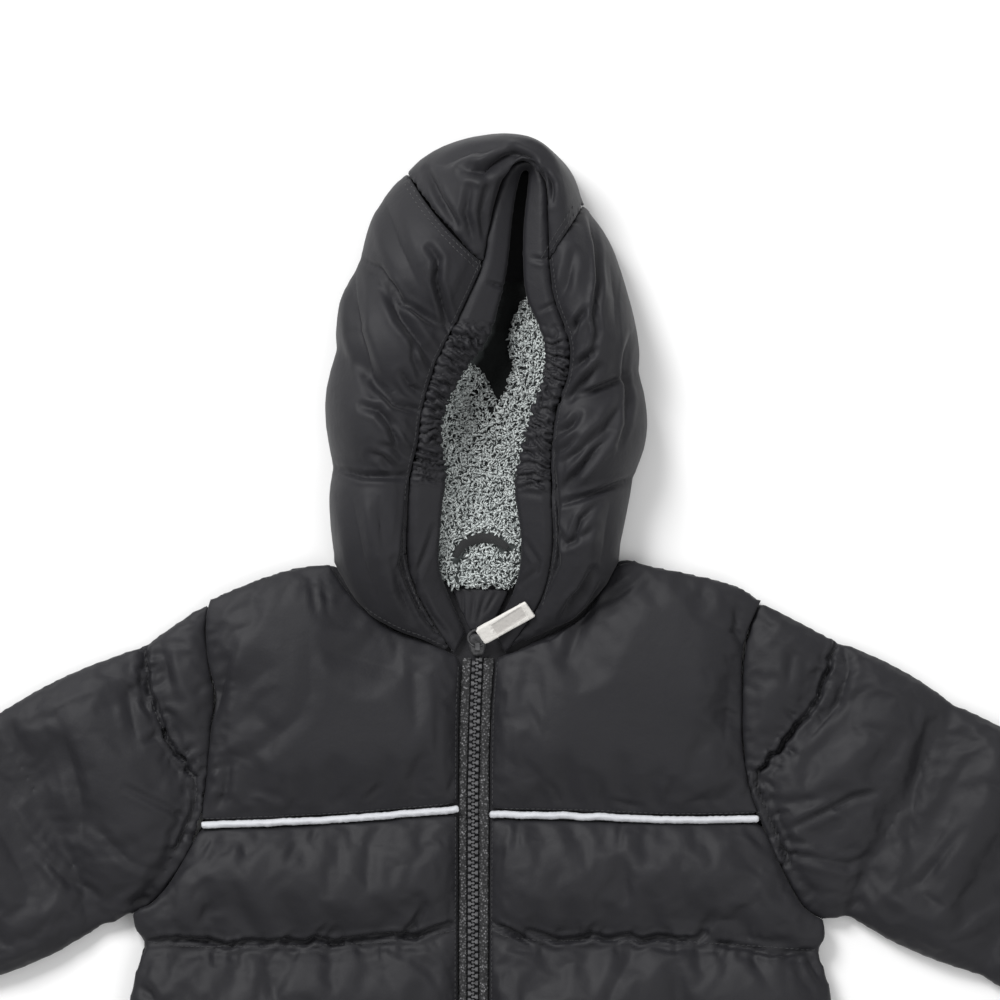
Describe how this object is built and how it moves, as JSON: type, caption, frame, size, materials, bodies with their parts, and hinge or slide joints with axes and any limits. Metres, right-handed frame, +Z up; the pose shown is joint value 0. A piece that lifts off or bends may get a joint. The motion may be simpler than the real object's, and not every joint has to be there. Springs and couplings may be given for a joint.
{
  "type": "child's hooded padded jacket lying flat, zipped up",
  "caption": "Child's hooded padded jacket with a sherpa-lined hood and a swinging zip pull, lying flat on its back.",
  "frame": {"origin": "on the flat underside of the back panel, under the zip at the level of the chest seam", "axes": "+X across the jacket to the right of the picture, +Y towards the crown of the hood, +Z up from the surface it lies on"},
  "size_m": [0.9144, 0.6666, 0.0578],
  "materials": {
    "shell_cloth": "smooth tightly woven charcoal shell with a soft sheen",
    "piping": "pale grey woven piping",
    "sherpa": "grey sherpa pile",
    "zip_tape": "woven zip tape",
    "zip_teeth": "moulded dark grey teeth",
    "slider_metal": "dark coated metal",
    "pull_strap": "off-white woven strap",
    "loop_tape": "black woven tape"
  },
  "bodies": {
    "jacket": {"back_panel": "shell_cloth", "yoke_left": "shell_cloth", "yoke_right": "shell_cloth", "front_left": "shell_cloth", "front_right": "shell_cloth", "piping_left": "piping", "piping_right": "piping", "sleeve_left": "shell_cloth", "sleeve_right": "shell_cloth", "zip_tape_left": "zip_tape", "zip_tape_right": "zip_tape", "zip_chain": "zip_teeth", "zip_box": "zip_teeth", "zip_slider": "slider_metal", "hood_side_left": "shell_cloth", "hood_side_right": "shell_cloth", "hood_centre": "shell_cloth", "hood_casing": "shell_cloth", "hood_lining": "sherpa", "hanging_loop": "loop_tape", "wind_flap": "shell_cloth"},
    "pull": {"pull_ring": "slider_metal", "pull_strap": "pull_strap"}
  },
  "joints": [
    {"name": "pull_swing", "type": "hinge", "parent": "jacket", "child": "pull", "pos_m": [0.0019, 0.093, 0.0158], "axis": [1, 0, 0], "range_deg": [0, 130]}
  ]
}
